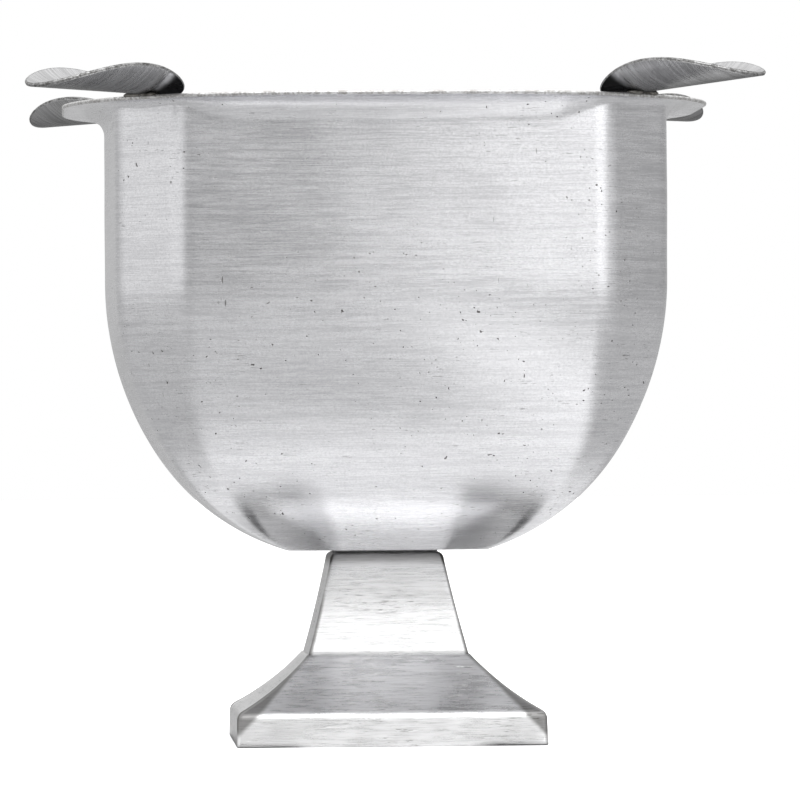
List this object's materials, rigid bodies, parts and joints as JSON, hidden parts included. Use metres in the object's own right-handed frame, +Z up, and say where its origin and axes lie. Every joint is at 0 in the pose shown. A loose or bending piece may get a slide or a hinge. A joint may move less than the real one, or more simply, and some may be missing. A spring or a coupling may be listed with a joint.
{
  "type": "pedestal cigar ashtray",
  "caption": "Deep brushed-metal bowl with rounded square faces, leaf-shaped cigar troughs on its flared rim and a tapered square pedestal foot.",
  "frame": {"origin": "centre of the face it stands on", "axes": "+Z up along the pedestal's axis, -Y out of the front face, rests on the diagonals"},
  "size_m": [0.2226, 0.2226, 0.209],
  "materials": {
    "bowl_steel": "brushed level, satin",
    "rest_steel": "brushed along the trough",
    "filler": "rough, darkened",
    "foot_metal": "coarse brushed, darkened edges",
    "fastener_steel": "machined",
    "seal_rubber": "matt black",
    "cover_steel": "mill",
    "felt": "dark felt"
  },
  "bodies": {
    "root": {"bowl": "bowl_steel", "rest_front_left": "rest_steel", "rest_front_right": "rest_steel", "rest_back_left": "rest_steel", "rest_back_right": "rest_steel", "braze_front_left": "filler", "braze_front_right": "filler", "braze_back_left": "filler", "braze_back_right": "filler", "column": "foot_metal", "base": "foot_metal", "tie_bolt": "fastener_steel", "bolt_washer": "fastener_steel", "nut_washer": "fastener_steel", "spring_washer": "fastener_steel", "tie_nut": "fastener_steel", "bowl_seal": "seal_rubber", "column_gasket": "seal_rubber", "base_cover": "cover_steel", "base_felt": "felt"}
  },
  "joints": []
}
